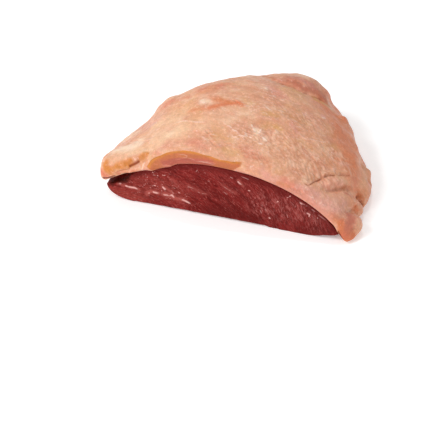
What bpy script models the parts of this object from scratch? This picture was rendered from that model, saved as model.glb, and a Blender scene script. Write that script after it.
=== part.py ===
"""Picanha: the cap of the rump as one raw joint, fat side up, cut across at its wide end.

Two solids make it: the lean meat, which rests on its flat underside, and the layer of fat
that lies over it like a shell. The fat ends in a thick lobe at the left of the cut and in
folds and a hanging flap at the right.

The shape is a loft. A section lies across the joint at each share t of its length, from
the cut (0) to the tip (1), and a point lies on it at a share s, from the left edge (-1)
over the crest (0) to the right edge (1). Lengths are in metres, X runs along the cut, Y
from the cut to the tip and Z up. The loft is worked out from the foot of the cut, and the
joint is then moved so that the origin lies under the middle of its box.
"""
import bmesh
import bpy
import numpy as np
from mathutils import Vector, noise

MM = 0.001
COLLECTION = "picanha"

# Where the middle of the joint's box lies, seen from the foot of the cut.
BOX_MIDDLE = (1.1 * MM, 85.3 * MM)

# The lean, as seen from above.
LENGTH = 148.8 * MM            # from the cut to the tip
LEFT_EDGE = -93 * MM           # the two ends of the lean at the cut
RIGHT_EDGE = 93 * MM
TIP_X = 24.8 * MM              # the tip lies right of the middle
TAPER_REACH = 0.956            # how far along its taper the joint is rounded off
LEFT_TAPER = (3.16, 1.30)      # powers of the two side outlines
RIGHT_TAPER = (4.00, 1.24)
NOSE_POWER = 18                # high, so that only the last stretch rounds in
NOSE_DRAW = 16.7 * MM          # how far the tip is drawn out past the length
DRAW_POWER = 14

# The lean's section.
CUT_HEIGHT = 43.3 * MM
CREST_RISE = 0.34              # share by which the crest rises behind the cut
RISE_REACH = 0.9               # share of the taper over which it rises and sinks again
BACK_FALL = (6.0, 0.30)        # powers with which the crest falls to the tip
CREST_AT = (0.45, -0.25)       # share of the width: at the cut, and its drift to the tip
CREST_BACK = (0.30, 12)        # how it swings back over the nose, and how late
LEFT_ROUND = (1.70, 0.95)      # powers of the section on each side of the crest
RIGHT_ROUND = (2.42, 0.84)
LEFT_BLUNT = (0.9, 4)          # how much blunter the left side gets to the tip, and how late
TIP_RIM = 4.7 * MM             # height of the lean's edge at the tip
LEFT_RIM = 12.8 * MM           # the same at the left and the right of the cut
RIGHT_RIM = 3.3 * MM
FLAP_RIM = 1.4 * MM            # where the flap hangs down to the board
FLAP_REACH = 0.075             # share of the length that hangs so low
LEFT_FOOT = 0.74               # share of the width where the underside lifts off the board
RIGHT_FOOT = 0.70
TIP_FOOT = 0.84                # share of the length where it lifts off
FLAP_PAST = 0.032              # share by which the flap hangs past the lean at the cut
LOBE_SHORT = 0.045             # share by which the lobe stops short of the lean's left end
END_REACH = 0.15               # share of the length over which they do

# The fat.
GAP = 0.4 * MM                 # between the two solids
FAT = 9.5 * MM                 # usual thickness
LEFT_FAT = 13 * MM             # thickness at the two ends of the cut
RIGHT_FAT = 4.7 * MM
RIM_FAT = (7.9 * MM, 5.6 * MM)  # where it is trimmed along the left and right sides
TRIM_BAND = (0.08, 0.12)       # share of the width over which it thins to that
CUT_BAND = 0.25                # share of the length over which the ends differ
LOWEST = 0.3 * MM              # the fat stays this far above the board
FLANK_SWELL = (0.0, 0.7)       # share of the swellings left at the left and right edges

# The knife left the fat flat and square between these two places along the cut. Beyond
# them its edge is round.
FLAT_FROM = (-57.7 * MM, 3.7 * MM)                # X, and over how far it changes
FLAT_TO = (24.2 * MM, 8.4 * MM)
ROUND_DEPTH = 10.2 * MM        # how far back from the cut the round edge starts
ROUND_EDGE = (0.62, 0.45)      # share of the thickness that is left at the cut, by side

# Rounded swellings of the fat: X, Y, radius, height.
SWELLINGS = (
    (-87.4 * MM, 0.9 * MM, 18.6 * MM, 4.7 * MM),  # lobe at the left of the cut
    (-97.7 * MM, 45.6 * MM, 23.2 * MM, 4.6 * MM),  # left flank
    (-59.1 * MM, 73.9 * MM, 18 * MM, 7.4 * MM),    # left shoulder
    (-33.5 * MM, 0, 27.9 * MM, 2.2 * MM),          # behind the flat part of the cut
    (20.9 * MM, 136.7 * MM, 27.9 * MM, 7.4 * MM),  # hump above the tip
    (30.7 * MM, 131.1 * MM, 12.1 * MM, 2.8 * MM),
    (61.4 * MM, 117.2 * MM, 8.4 * MM, 2.8 * MM),   # right flank
    (91.1 * MM, 61.4 * MM, 16.7 * MM, 3 * MM),
    (95.8 * MM, 10.2 * MM, 13 * MM, 3.3 * MM),     # flap
)

# Creases: points as (s, t) on the loft, depth and half width.
CREASES = (
    (((-0.62, 0.00), (-0.53, 0.01), (-0.55, 0.07), (-0.59, 0.10)), 2.2 * MM, 3.3 * MM),
    (((0.03, 0.79), (0.17, 0.75), (0.32, 0.72), (0.50, 0.73), (0.66, 0.79)), 3.3 * MM, 6 * MM),
    (((0.71, 0.11), (0.76, 0.19), (0.83, 0.26), (0.87, 0.31)), 2 * MM, 3.5 * MM),
    (((0.77, 0.09), (0.85, 0.17), (0.91, 0.22), (0.96, 0.26), (1.00, 0.26)), 2.8 * MM, 3.7 * MM),
    (((0.91, 0.10), (0.94, 0.14), (1.00, 0.18)), 2.4 * MM, 3.5 * MM),
)

# Dents in the right outline: where each is as t, and its path as (s, further t).
FLANK_NOTCHES = (0.56, 0.67, 0.80)
NOTCH_PATH = ((0.88, -0.03), (0.94, 0), (1.0, 0.01))
NOTCH_DEPTH = 1.5 * MM
NOTCH_WIDTH = 4.2 * MM

# Ripples over the whole of the fat, and on the cut.
RIPPLE_SIZE = 24.2 * MM
RIPPLE = 0.9 * MM
CUT_RIPPLE_SIZE = 14 * MM
CUT_RIPPLE = 1 * MM

# How far the fat stands forward of the cut: X, half width, distance.
OVERHANGS = (
    (-83.7 * MM, 15.8 * MM, 4.7 * MM),            # lobe
    (91.1 * MM, 11.2 * MM, 2.3 * MM),             # flap
)
OVERHANG_DEPTH = 12.1 * MM     # how far back the fat is drawn forward with it
INNER_OVERHANG = 0.35          # share of it that the fat's inner side follows
CUT_BOW = 0.40                 # how far the edge bows out, as a share of the thickness
SIDE_BOW = 0.15
CUT_EDGE_REACH = 7.4 * MM      # how far back from the cut its edge bows like that

# Hollows between the lean and the fat at the two ends of the cut: X, Y, radius, depth.
HOLLOWS = (
    (-81.8 * MM, 0, 11.2 * MM, 5.6 * MM),
    (92.1 * MM, 0, 9.3 * MM, 3 * MM),
)

ACROSS = 56                    # facets across and along the outside of the fat
ALONG = 40
CROWDING = 0.75                # how far the facets draw together towards the two edges
RIM_ROWS = 3                   # rows that round the fat's edge
CUT_ROWS = 8                   # rows of facets up the cut
WELD = 0.01 * MM               # facets closer than this share their corners
SHARP_ANGLE = 40               # degrees; edges that turn more stay sharp in the shading

FAT_COLOUR = (0.76, 0.49, 0.31)
LEAN_COLOUR = (0.26, 0.035, 0.03)
FAT_ROUGHNESS = 0.45
LEAN_ROUGHNESS = 0.4


def across(count):
    """Shares s from edge to edge, closer together near the edges."""
    even = np.linspace(-1, 1, count + 1)
    return (CROWDING * np.sin(even * np.pi / 2) + (1 - CROWDING) * even)[np.newaxis, :]


def along(count):
    """Shares t from cut to tip, closer together at both ends."""
    rise = np.sin(np.linspace(0, np.pi / 2, count + 1))
    return ((rise + rise ** 2) / 2)[:, np.newaxis]


def bell(distance, width):
    return np.exp(-((distance / width) ** 2))


def flat_share(x):
    """How flat the knife left the fat at x along the cut, from 0 to 1."""
    start = 1 / (1 + np.exp(-(x - FLAT_FROM[0]) / FLAT_FROM[1]))
    return start / (1 + np.exp((x - FLAT_TO[0]) / FLAT_TO[1]))


def edges(t):
    """The left and right edges of the lean, and its crest, seen from above."""
    nose = np.sqrt(np.clip(1 - t ** NOSE_POWER, 0, 1))
    reach = t * TAPER_REACH
    left = TIP_X + (LEFT_EDGE - TIP_X) * (1 - reach ** LEFT_TAPER[0]) ** LEFT_TAPER[1] * nose
    right = TIP_X + (RIGHT_EDGE - TIP_X) * (1 - reach ** RIGHT_TAPER[0]) ** RIGHT_TAPER[1] * nose
    share = CREST_AT[0] + CREST_AT[1] * t + CREST_BACK[0] * t ** CREST_BACK[1]
    return left, right, left + (right - left) * share


def heights(t):
    """The height of the crest and of the two edges of the fat's inner side."""
    nose = np.sqrt(np.clip(1 - t ** NOSE_POWER, 0, 1))
    reach = t * TAPER_REACH
    rise = 1 + CREST_RISE * np.sin(np.pi * np.minimum(reach / RISE_REACH, 1))
    crest = CUT_HEIGHT * rise * (1 - reach ** BACK_FALL[0]) ** BACK_FALL[1]
    crest = TIP_RIM + (crest - TIP_RIM) * nose
    left = LEFT_RIM + (TIP_RIM - LEFT_RIM) * t
    right = RIGHT_RIM + (TIP_RIM - RIGHT_RIM) * t + (FLAP_RIM - RIGHT_RIM) * bell(t, FLAP_REACH)
    return crest, left, right


def inner_side(s, t):
    """The side of the fat that lies on the lean."""
    left, right, crest = edges(t)
    crest_z, left_z, right_z = heights(t)
    on_left = s < 0
    x = crest + np.where(on_left, s * (crest - left), s * (right - crest))
    rim_z = np.where(on_left, left_z, right_z)
    depth = np.where(on_left, LEFT_ROUND[0] + LEFT_BLUNT[0] * t ** LEFT_BLUNT[1], RIGHT_ROUND[0])
    power = np.where(on_left, LEFT_ROUND[1], RIGHT_ROUND[1])
    bow = (1 - np.minimum(np.abs(s), 1) ** depth) ** power
    z = rim_z + (crest_z - rim_z) * bow
    y = LENGTH * t + NOSE_DRAW * t ** DRAW_POWER + 0 * s
    return np.stack([x, y, z], axis=-1)


def outward(s, t):
    """The direction square to the inner side, away from the lean."""
    step = 0.0015
    t = np.minimum(t, 1 - 2 * step)
    over = inner_side(np.minimum(s + step, 1), t) - inner_side(np.maximum(s - step, -1), t)
    back = inner_side(s, t + step) - inner_side(s, np.maximum(t - step, 0))
    square = np.cross(over, back)
    return square / np.linalg.norm(square, axis=-1, keepdims=True)


def thickness(s, t, inner):
    """How thick the fat is, before its creases."""
    end_fat = np.where(s < 0, LEFT_FAT, RIGHT_FAT)
    at_cut = FAT + (end_fat - FAT) * s ** 2
    fade = np.clip(t / CUT_BAND, 0, 1)
    fade = fade * fade * (3 - 2 * fade)
    thick = at_cut + (FAT - at_cut) * fade
    band = np.where(s < 0, TRIM_BAND[0], TRIM_BAND[1])
    trim = np.clip((np.abs(s) - 1 + band) / band, 0, 1)
    trim = trim * (2 - trim)
    swell = 0
    for x, y, radius, height in SWELLINGS:
        swell = swell + height * bell(np.hypot(inner[..., 0] - x, inner[..., 1] - y), radius)
    kept = np.where(s < 0, FLANK_SWELL[0], FLANK_SWELL[1])
    rim_fat = np.where(s < 0, RIM_FAT[0], RIM_FAT[1])
    thick = thick + (np.minimum(rim_fat, thick) - thick) * trim + swell * (1 - trim * (1 - kept))
    # Round the edge over the cut, outside the part that the knife left flat.
    back = np.clip(inner[..., 1] / ROUND_DEPTH, 0, 1)
    left_over = np.where(s < 0, ROUND_EDGE[0], ROUND_EDGE[1])
    fall = (1 - left_over) * (1 - np.sqrt(1 - (1 - back) ** 2))
    return thick * (1 - fall * (1 - flat_share(inner[..., 0])))


def smooth_outside(s, t):
    """The outside of the fat before its creases and ripples."""
    inner = inner_side(s, t)
    return inner + outward(s, t) * thickness(s, t, inner)[..., np.newaxis]


def distance_to_line(points, corners):
    """How far each point lies from the line through some corners."""
    nearest = np.full(points.shape[:-1], np.inf)
    for start, end in zip(corners[:-1], corners[1:]):
        run = end - start
        share = np.clip((points - start) @ run / (run @ run), 0, 1)
        foot = start + share[..., np.newaxis] * run
        nearest = np.minimum(nearest, np.linalg.norm(points - foot, axis=-1))
    return nearest


def line_on_fat(shares):
    """The corners of a crease that is given by its shares (s, t)."""
    s, t = (np.array(values, dtype=float) for values in zip(*shares))
    return smooth_outside(s, t)


def ripples(points, size):
    """Even swells between -1 and 1 whose size is given."""
    flat = points.reshape(-1, 3) / size
    return np.array([noise.noise(Vector(p)) for p in flat]).reshape(points.shape[:-1])


def relief(points):
    """Creases, notches in the right flank and ripples, as heights over the smooth fat."""
    height = RIPPLE * ripples(points, RIPPLE_SIZE)
    for shares, depth, width in CREASES:
        height = height - depth * bell(distance_to_line(points, line_on_fat(shares)), width)
    for t in FLANK_NOTCHES:
        notch = line_on_fat([(s, t + further) for s, further in NOTCH_PATH])
        height = height - NOTCH_DEPTH * bell(distance_to_line(points, notch), NOTCH_WIDTH)
    return height


def drawn_forward(points, share):
    """The same points, with the lobe and the flap standing forward of the cut."""
    moved = points.copy()
    near_cut = share * bell(points[..., 1], OVERHANG_DEPTH)
    for x, width, distance in OVERHANGS:
        moved[..., 1] -= distance * bell(points[..., 0] - x, width) * near_cut
    return moved


def border(grid):
    """The edge of a grid of points: up the left side, along the cut, down the right side."""
    return np.concatenate([grid[::-1, 0], grid[0, 1:-1], grid[:, -1]])


def rim(outer, inner, square):
    """Rows of points that round the fat's edge between its outer and its inner border."""
    along_edge = np.gradient(outer, axis=0)
    away = np.cross(along_edge, square)
    away /= np.linalg.norm(away, axis=-1, keepdims=True) + 1e-9
    away[1:-1] = sum(away[i:i + len(away) - 2] for i in range(3)) / 3
    away[2:-2] = sum(away[i:i + len(away) - 4] for i in range(5)) / 5
    away[0] = away[-1] = 0
    thick = np.linalg.norm(outer - inner, axis=-1, keepdims=True)
    at_cut = bell(outer[:, 1], CUT_EDGE_REACH)
    bow = (SIDE_BOW + (CUT_BOW - SIDE_BOW) * at_cut) * (1 - flat_share(outer[:, 0]) * at_cut)
    rows = []
    for row in range(1, RIM_ROWS + 1):
        share = row / (RIM_ROWS + 1)
        bulge = thick * bow[:, np.newaxis] * np.sin(np.pi * share)
        rows.append(outer + (inner - outer) * share + away * bulge)
    return rows


def add_grid(mesh, points):
    """Square facets over a grid of points."""
    rows = [[mesh.verts.new(p) for p in row] for row in points]
    for low, high in zip(rows[:-1], rows[1:]):
        for quad in zip(low[:-1], low[1:], high[1:], high[:-1]):
            mesh.faces.new(quad)


def add_stitch(mesh, fine, coarse):
    """Triangles between a row of points and one with half as many."""
    fine = [mesh.verts.new(p) for p in fine]
    coarse = [mesh.verts.new(p) for p in coarse]
    for i, (a, b) in enumerate(zip(coarse[:-1], coarse[1:])):
        first, middle, last = fine[2 * i:2 * i + 3]
        mesh.faces.new((first, middle, a))
        mesh.faces.new((middle, b, a))
        mesh.faces.new((middle, last, b))


def make_object(name, mesh, material):
    """Weld the loose facets into one closed body and make it an object of the collection."""
    bmesh.ops.remove_doubles(mesh, verts=mesh.verts, dist=WELD)
    bmesh.ops.dissolve_degenerate(mesh, edges=mesh.edges, dist=WELD)
    bmesh.ops.recalc_face_normals(mesh, faces=mesh.faces)
    shift = Vector((-BOX_MIDDLE[0], -BOX_MIDDLE[1], 0))
    bmesh.ops.translate(mesh, verts=mesh.verts, vec=shift)
    data = bpy.data.meshes.new(name)
    mesh.to_mesh(data)
    mesh.free()
    data.materials.append(material)
    data.shade_smooth()
    data.set_sharp_from_angle(angle=np.radians(SHARP_ANGLE))
    made = bpy.data.objects.new(name, data)
    bpy.data.collections[COLLECTION].objects.link(made)
    return made


def make_material(name, colour, roughness):
    material = bpy.data.materials.new(name)
    material.use_nodes = True
    shader = material.node_tree.nodes["Principled BSDF"]
    shader.inputs["Base Color"].default_value = (*colour, 1)
    shader.inputs["Roughness"].default_value = roughness
    shader.inputs["Metallic"].default_value = 0
    return material


def make_fat_cap():
    s, t = across(ACROSS), along(ALONG)
    s = np.where(s < 0, s * (1 - LOBE_SHORT * bell(t, END_REACH)), s)
    square = outward(s, t)
    square[-1] = (0, 1, 0)
    inner = inner_side(s, t)
    outer = inner + square * thickness(s, t, inner)[..., np.newaxis]
    outer = outer + square * relief(outer)[..., np.newaxis]
    outer[-1] = outer[-1].mean(axis=0)
    inner[-1] = inner[-1].mean(axis=0)
    outer, inner = drawn_forward(outer, 1), drawn_forward(inner, INNER_OVERHANG)
    rows = rim(border(outer), border(inner), border(square))
    for points in (outer, inner, *rows):
        points[..., 2] = np.maximum(points[..., 2], LOWEST)
    coarse = inner[::2, ::2]
    mesh = bmesh.new()
    add_grid(mesh, outer)
    add_grid(mesh, coarse)
    add_grid(mesh, np.stack([border(outer), *rows]))
    add_stitch(mesh, rows[-1], border(coarse))
    return make_object("fat_cap", mesh, make_material("fat", FAT_COLOUR, FAT_ROUGHNESS))


def lean_top(s, t):
    """The top of the lean, just under the fat, with its hollows at the ends of the cut."""
    s = np.where(s > 0, s * (1 - FLAP_PAST * bell(t, END_REACH)), s)
    inner = inner_side(s, t)
    depth = np.full(inner.shape[:-1], GAP)
    for x, y, radius, hollow in HOLLOWS:
        depth = depth + hollow * bell(np.hypot(inner[..., 0] - x, inner[..., 1] - y), radius)
    square = outward(s, t)
    square[-1] = (0, 1, 0)
    top = inner - square * depth[..., np.newaxis]
    top[-1] = top[-1].mean(axis=0)
    return top


def lean_underside(s, t, top):
    """The underside: flat on the board, and curling up to the edges."""
    left, right = top[:, :1], top[:, -1:]
    middle = (left + right) / 2
    shares = s[..., np.newaxis]
    edge = np.where(shares < 0, left, right)
    under = middle + np.abs(shares) * (edge - middle)
    foot = np.where(s < 0, LEFT_FOOT, RIGHT_FOOT)
    sideways = np.clip((np.abs(s) - foot) / (1 - foot), 0, 1)
    endways = np.clip((t - TIP_FOOT) / (1 - TIP_FOOT), 0, 1)
    lift = 1 - np.sqrt(1 - np.minimum(sideways ** 2 + endways ** 2, 1))
    under[..., 2] = edge[..., 2] * lift
    return under


def make_lean():
    s, t = across(ACROSS // 2), along(ALONG)[::2]
    top = lean_top(s, t)
    under = lean_underside(s, t, top)
    up = np.linspace(0, 1, CUT_ROWS + 1)[:, np.newaxis, np.newaxis]
    cut = under[0] + (top[0] - under[0]) * up
    inside = np.sin(np.pi * up[..., 0]) * (1 - s ** 4)
    cut[..., 1] += CUT_RIPPLE * ripples(cut, CUT_RIPPLE_SIZE) * inside
    mesh = bmesh.new()
    for points in (top, under, cut):
        add_grid(mesh, points)
    return make_object("lean", mesh, make_material("lean_meat", LEAN_COLOUR, LEAN_ROUGHNESS))


for existing in list(bpy.data.objects):
    bpy.data.objects.remove(existing, do_unlink=True)
bpy.context.scene.collection.children.link(bpy.data.collections.new(COLLECTION))
make_lean()
make_fat_cap()
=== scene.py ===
# A picanha, the cap of the rump, lying fat side up with its lean showing at the straight cut.
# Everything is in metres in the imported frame: X along the cut, Y from the cut to the tip, Z up.
import math
import bmesh
import bpy
import numpy as np
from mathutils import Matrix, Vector, noise
from mathutils.bvhtree import BVHTree


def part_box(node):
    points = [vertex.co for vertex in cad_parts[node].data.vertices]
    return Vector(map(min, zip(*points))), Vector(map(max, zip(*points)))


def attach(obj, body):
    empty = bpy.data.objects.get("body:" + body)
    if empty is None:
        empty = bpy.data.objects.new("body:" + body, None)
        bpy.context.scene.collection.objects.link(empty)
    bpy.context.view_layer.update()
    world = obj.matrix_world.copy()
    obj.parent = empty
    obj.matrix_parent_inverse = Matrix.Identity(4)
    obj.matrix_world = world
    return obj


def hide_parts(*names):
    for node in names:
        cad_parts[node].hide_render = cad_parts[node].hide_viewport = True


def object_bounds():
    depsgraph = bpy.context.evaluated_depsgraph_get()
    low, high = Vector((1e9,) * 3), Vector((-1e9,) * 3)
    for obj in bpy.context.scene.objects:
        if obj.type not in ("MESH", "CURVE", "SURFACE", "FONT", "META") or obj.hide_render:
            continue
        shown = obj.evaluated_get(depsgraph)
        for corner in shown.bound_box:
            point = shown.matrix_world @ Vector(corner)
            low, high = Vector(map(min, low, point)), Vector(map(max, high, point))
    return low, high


mm = 0.001
noiseSeed = 1                   # any but 0, which stands for the clock and differs in each run
bellReach = 3                   # widths from its middle at which a bell is as good as 0
fullDrift = 8                   # mm: the radius from which a patch drifts all the way
stringEnds = (-0.2, 0.25)       # shares along a string between which it comes up
noiseSpread = (0.3, 0.7)        # most values of a noise texture lie between these
noiseGap = 3.7                  # swells between the places where two noise textures are read
noiseRoughness = 0.6
facets = {                      # how packed facets are joined to quads: mm, and radians for two triangles
    "weld": 0.01, "flat": 0.6, "square": 0.7,
}
noiseShifts = {                 # where in the noise each pattern is read, so that no two are alike
    "swells": 3.7, "flakes": 5.3, "wrinkles": 8.1, "fineWrinkles": 2.2, "breaks": 6.1, "flank": 2.9,
    "strings": 4.4,
}
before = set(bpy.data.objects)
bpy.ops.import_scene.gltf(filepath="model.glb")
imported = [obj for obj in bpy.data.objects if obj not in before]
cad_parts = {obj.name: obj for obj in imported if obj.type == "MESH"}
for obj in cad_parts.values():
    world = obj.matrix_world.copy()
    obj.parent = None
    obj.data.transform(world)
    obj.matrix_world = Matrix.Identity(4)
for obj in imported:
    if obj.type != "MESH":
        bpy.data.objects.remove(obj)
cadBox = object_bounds()
scene = bpy.context.scene
noise.seed_set(noiseSeed)
print("frame loaded:", sorted(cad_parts))

# The camera, as the photo was taken. A pixel place below lies in the photo's square frame.
photo = {
    "side": 421,                # pixels
    "azimuth": 19.09,           # degrees round from the cut, and above the board
    "elevation": 34.0,
    "lookAt": (-28.88 * mm, -29.5 * mm, -34.79 * mm),
    "distance": 837 * mm,
    "focalPixels": 1046.25,
    "sensor": 36,               # millimetres, Blender's own
}


def makeCamera():
    turn, rise = math.radians(photo["azimuth"]), math.radians(photo["elevation"])
    back = Vector((math.sin(turn) * math.cos(rise), -math.cos(turn) * math.cos(rise), math.sin(rise)))
    data = bpy.data.cameras.new("camera")
    data.sensor_width = photo["sensor"]
    data.lens = photo["sensor"] * photo["focalPixels"] / photo["side"]
    camera = bpy.data.objects.new("camera", data)
    camera.location = Vector(photo["lookAt"]) + back * photo["distance"]
    camera.rotation_mode = "QUATERNION"
    camera.rotation_quaternion = (-back).to_track_quat("-Z", "Y")
    scene.collection.objects.link(camera)
    scene.camera = camera
    return camera


camera = makeCamera()
print("camera set")


def hexColour(text):
    # sRGB hex to the linear colour that shaders take
    parts = [int(text[i:i + 2], 16) / 255 for i in (1, 3, 5)]
    return (*[p / 12.92 if p <= 0.04045 else ((p + 0.055) / 1.055) ** 2.4 for p in parts], 1)


def addNode(tree, kind, links=None, **settings):
    node = tree.nodes.new(kind)
    for name, value in settings.items():
        setattr(node, name, value)
    for socket, value in (links or {}).items():
        if isinstance(value, bpy.types.NodeSocket):
            tree.links.new(value, node.inputs[socket])
        else:
            node.inputs[socket].default_value = value
    return node


def bell(distance, width):
    return np.exp(-((distance / width) ** 2))


def smooth(values, low, high):
    share = np.clip((values - low) / (high - low), 0, 1)
    return share * share * (3 - 2 * share)


def tapered(along, low, high):
    # rises to 1 between these shares of a line, from both of its ends
    return smooth(along, low, high) * smooth(1 - along, low, high)


def swells(points, size, shift=0.0):
    # soft noise round 0, mostly within -0.5 and 0.5, whose swells are size metres wide
    return np.array([noise.noise(p) for p in (points / size + shift).tolist()])


def wandered(points, wanders):
    # the same points pushed about, so that what is measured from them gets an uneven border
    moved = points.copy()
    for size, reach in wanders:
        places = (points / (size * mm)).tolist()
        moved += reach * mm * np.array([tuple(noise.noise_vector(place)) for place in places])
    return moved


def stretched(points, direction, share):
    # the same points drawn together along a direction, so that noise on them is longer that way
    direction = np.array(direction) / np.linalg.norm(direction)
    return points - np.outer(points @ direction, direction) * (1 - share)


def fineMesh(node, form):
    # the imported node's facets as a smooth mesh: quads, rounded by subdivision, with the edges
    # kept sharp that the knife left
    knifeFrom, knifeTo = form["knife"]
    bm = bmesh.new()
    bm.from_mesh(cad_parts[node].data)
    bmesh.ops.remove_doubles(bm, verts=bm.verts, dist=facets["weld"] * mm)
    bmesh.ops.join_triangles(bm, faces=bm.faces, angle_face_threshold=facets["flat"],
                             angle_shape_threshold=facets["square"])
    crease = bm.edges.layers.float.new("crease_edge")
    for edge in bm.edges:
        middle = (edge.verts[0].co.x + edge.verts[1].co.x) / 2
        if knifeFrom < middle < knifeTo and edge.calc_face_angle(0) > form["sharp"]:
            edge[crease] = form["keptSharp"]
    data = bpy.data.meshes.new(node + "Coarse")
    bm.to_mesh(data)
    bm.free()
    coarse = bpy.data.objects.new(node + "Coarse", data)
    scene.collection.objects.link(coarse)
    rounding = coarse.modifiers.new("rounding", "SUBSURF")
    rounding.levels = rounding.render_levels = form["levels"]
    fine = bpy.data.meshes.new_from_object(coarse.evaluated_get(bpy.context.evaluated_depsgraph_get()))
    bpy.data.objects.remove(coarse)
    return fine


def halve(mesh, chosen):
    # split the chosen faces' edges in two, in the order of their numbers, so that each run
    # makes the same mesh
    bm = bmesh.new()
    bm.from_mesh(mesh)
    bm.edges.ensure_lookup_table()
    numbers = {edge.index for face in bm.faces if chosen[face.index] for edge in face.edges}
    edges = [bm.edges[number] for number in sorted(numbers)]
    bmesh.ops.subdivide_edges(bm, edges=edges, cuts=1, use_grid_fill=True)
    bm.to_mesh(mesh)
    bm.free()


def relax(mesh, weights, rounds):
    # draw each point towards the middle of its neighbours, as far as its weight says
    points = readPoints(mesh)[0]
    ends = np.empty(len(mesh.edges) * 2, int)
    mesh.edges.foreach_get("vertices", ends)
    first, second = ends[::2], ends[1::2]
    total = len(points)
    count = np.bincount(ends, minlength=total)[:, np.newaxis]
    for _ in range(rounds):
        sums = np.stack([np.bincount(first, points[second, axis], total) +
                         np.bincount(second, points[first, axis], total) for axis in range(3)], axis=1)
        points += (sums / count - points) * weights[:, np.newaxis]
    movePoints(mesh, points)


def readFaces(mesh):
    centres = np.empty(len(mesh.polygons) * 3)
    mesh.polygons.foreach_get("center", centres)
    normals = np.empty(len(mesh.polygons) * 3)
    mesh.polygons.foreach_get("normal", normals)
    return centres.reshape(-1, 3), normals.reshape(-1, 3)


def readPoints(mesh):
    points = np.empty(len(mesh.vertices) * 3)
    mesh.vertices.foreach_get("co", points)
    normals = np.empty(len(mesh.vertices) * 3)
    mesh.vertex_normals.foreach_get("vector", normals)
    return points.reshape(-1, 3), normals.reshape(-1, 3)


def movePoints(mesh, points):
    mesh.vertices.foreach_set("co", points.astype(np.float32).ravel())
    mesh.update()


def storeField(mesh, name, values):
    kind = "FLOAT_VECTOR" if values.ndim == 2 else "FLOAT"
    field = mesh.attributes.new(name, kind, "POINT")
    field.data.foreach_set("vector" if values.ndim == 2 else "value", values.astype(np.float32).ravel())


def meshTree(mesh):
    corners = [tuple(v.co) for v in mesh.vertices]
    return BVHTree.FromPolygons(corners, [tuple(p.vertices) for p in mesh.polygons])


def nearestOn(tree, points):
    # the nearest place of a surface to each point, and how far off it is
    found = [tree.find_nearest(Vector(p)) for p in points.tolist()]
    return np.array([tuple(f[0]) for f in found]), np.array([f[3] for f in found])


def castPixel(tree, x, y):
    # where the line of sight through a pixel of the photo meets a surface
    half = photo["side"] / 2
    ray = Vector((x - half, half - y, -photo["focalPixels"])).normalized()
    hit = tree.ray_cast(camera.location, camera.rotation_quaternion @ ray)[0]
    if hit is None:
        raise ValueError(f"pixel {x}, {y} misses the surface")
    return np.array(hit)


def castLine(tree, pixels, step=2.5):
    # a line through pixels of the photo, laid on a surface, with a point every step pixels
    laid = []
    for (x0, y0), (x1, y1) in zip(pixels[:-1], pixels[1:]):
        count = max(1, round(math.hypot(x1 - x0, y1 - y0) / step))
        laid += [castPixel(tree, x0 + (x1 - x0) * i / count, y0 + (y1 - y0) * i / count)
                 for i in range(count)]
    return np.array(laid + [castPixel(tree, *pixels[-1])])


def offLine(points, normals, corners, reach):
    # for the points within reach of a line: which they are, their distance from it, their
    # share along it, and their side of it, 1 above a line that runs to the right
    low, high = corners.min(axis=0) - reach, corners.max(axis=0) + reach
    near = np.flatnonzero(((points > low) & (points < high)).all(axis=1))
    best = np.full(len(near), np.inf)
    along = np.zeros(len(near))
    side = np.zeros(len(near))
    for i, (start, end) in enumerate(zip(corners[:-1], corners[1:])):
        run = end - start
        share = np.clip((points[near] - start) @ run / (run @ run), 0, 1)
        away = points[near] - start - np.outer(share, run)
        distance = np.linalg.norm(away, axis=1)
        closer = distance < best
        best[closer] = distance[closer]
        along[closer] = ((i + share) / (len(corners) - 1))[closer]
        side[closer] = np.sign(np.einsum("ij,ij->i", np.cross(run, away), normals[near]))[closer]
    return near, best, along, side


def placeRow(tree, places):
    # a row of places, each a pixel of the photo laid on a surface, or three millimetres in the
    # frame where the photo doesn't show it; its end is doubled a hair off, so that one place will do
    row = np.array([castPixel(tree, *place) if len(place) == 2 else np.array(place) * mm
                    for place in places + places[-1:]])
    row[-1] += 0.01 * mm
    return row


def patchField(tree, points, patches, drift=0.0):
    # how strongly each point belongs to soft patches: (places in a row, radius in mm, strength).
    # Drift pushes the points about, so that a patch's border wanders, a small one's less.
    field = np.zeros(len(points))
    for places, radius, strength in patches:
        corners = placeRow(tree, places)
        pushed = points + drift * min(radius / fullDrift, 1)
        near, distance = offLine(pushed, pushed, corners, bellReach * radius * mm)[:2]
        field[near] = np.maximum(field[near], strength * bell(distance, radius * mm))
    return field


def shiftPoints(tree, points, shifts):
    # push what lies near a row of places some way over
    for places, radius, way in shifts:
        near, distance = offLine(points, points, placeRow(tree, places), bellReach * radius * mm)[:2]
        points[near] += np.outer(bell(distance, radius * mm), np.array(way) * mm)


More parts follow.
